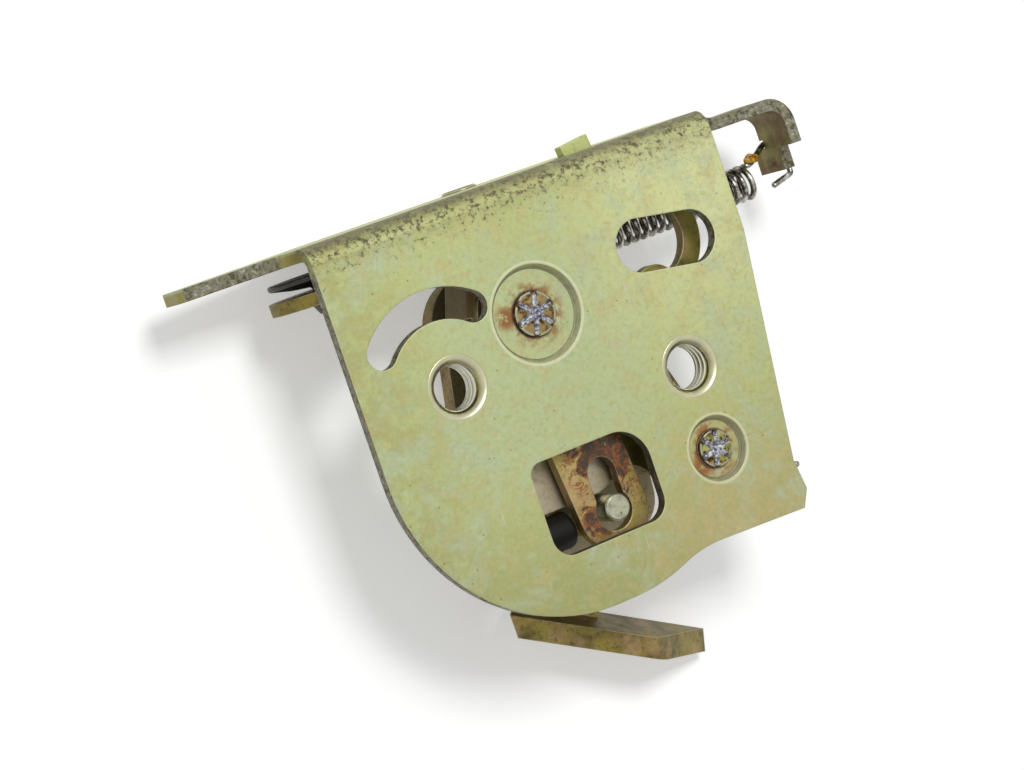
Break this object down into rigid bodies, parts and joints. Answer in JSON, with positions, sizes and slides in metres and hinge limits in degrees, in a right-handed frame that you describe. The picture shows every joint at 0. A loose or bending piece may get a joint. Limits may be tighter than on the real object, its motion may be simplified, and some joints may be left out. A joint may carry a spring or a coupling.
{
  "type": "door latch actuator",
  "caption": "Pressed steel door latch actuator: a flanged bracket carrying pivoted release, lock and handle levers with their link, springs and rubber stop.",
  "frame": {"origin": "on the axis of the left threaded hole, at the plate's mounting face", "axes": "+Z is the outward normal of the plate's mounting face, +Y the outward normal of the flange, +X runs along the flange towards the spring hook"},
  "size_m": [0.1098, 0.087, 0.026],
  "materials": {
    "bracket": "yellow zinc plated pressed steel, satin",
    "lever": "yellow zinc plated steel, worn",
    "stud": "bare staked steel",
    "spring": "dark spring steel",
    "rubber": "matt black rubber",
    "clip": "black moulded plastic"
  },
  "bodies": {
    "frame": {"bracket": "bracket", "main_stud": "stud", "main_spacer": "stud", "main_washer": "stud", "lock_stud": "stud", "inside_stud": "stud", "stop_lug": "lever", "stop_buffer": "rubber", "pull_spring": "spring", "lock_spring": "spring", "inside_spring": "spring"},
    "release": {"release_lever": "lever", "main_spring": "spring"},
    "outside": {"outside_lever": "lever"},
    "lock": {"lock_lever": "lever"},
    "link": {"coupling_link": "lever", "pusher_pin": "stud", "link_stub": "stud"},
    "inside": {"inside_lever": "lever", "rod_clip": "clip"}
  },
  "joints": [
    {"name": "release_pivot", "type": "hinge", "parent": "frame", "child": "release", "pos_m": [0.0166, 0.0062, -0.0045], "axis": [0, 0, 1], "range_deg": [0, 12], "stiffness_Nm_per_rad": 0.02, "deforming": ["pull_spring"]},
    {"name": "outside_pivot", "type": "hinge", "parent": "frame", "child": "outside", "pos_m": [0.0166, 0.0062, -0.021], "axis": [0, 0, 1], "range_deg": [0, 12]},
    {"name": "lock_pivot", "type": "hinge", "parent": "frame", "child": "lock", "pos_m": [0.0391, -0.0236, -0.0075], "axis": [0, 0, 1], "range_deg": [-10, 0], "deforming": ["lock_spring"]},
    {"name": "link_slide", "type": "slide", "parent": "release", "child": "link", "axis": [-0.1184, 0.993, 0], "range_m": [0, 0.0033]},
    {"name": "inside_pivot", "type": "hinge", "parent": "frame", "child": "inside", "pos_m": [0.0204, 0.0194, -0.0195], "axis": [0, 1, 0], "range_deg": [-15, 0], "deforming": ["inside_spring"]}
  ],
  "couplings": [
    {"joint": "outside_pivot", "follows": "release_pivot", "ratio": 1},
    {"joint": "inside_pivot", "follows": "release_pivot", "ratio": -1.25},
    {"joint": "link_slide", "follows": "lock_pivot", "m_per_rad": -0.0189}
  ]
}
